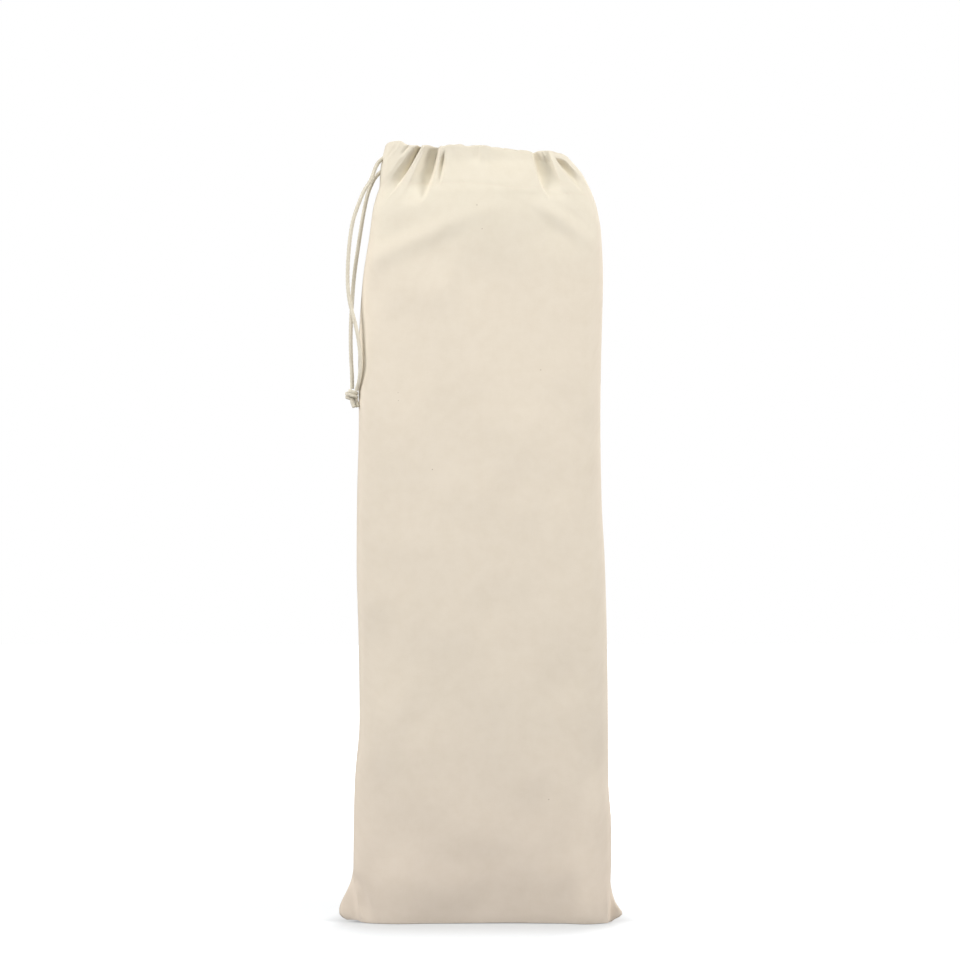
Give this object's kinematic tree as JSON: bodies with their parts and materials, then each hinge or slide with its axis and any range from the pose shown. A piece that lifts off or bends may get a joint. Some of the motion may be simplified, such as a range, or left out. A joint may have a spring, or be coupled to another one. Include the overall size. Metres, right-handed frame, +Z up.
{
  "type": "cotton drawstring bread bag",
  "caption": "Long flat cotton bag standing filled out and open, its gathered mouth drawn by a cord that is knotted at the side.",
  "frame": {"origin": "on the surface the bag stands on, under the middle of its cloth", "axes": "+Z up, +X to the right of the front face and away from the cord, -Y out of the front face"},
  "size_m": [0.2526, 0.071, 0.6951],
  "materials": {
    "cotton_cloth": "natural unbleached plain weave, matte, with a few dark seed flecks",
    "cotton_cord": "natural cotton cord, matte"
  },
  "bodies": {
    "root": {"bag_cloth": "cotton_cloth", "cord_strand_upper": "cotton_cord", "cord_strand_lower": "cotton_cord", "cord_knot": "cotton_cord"}
  },
  "joints": []
}
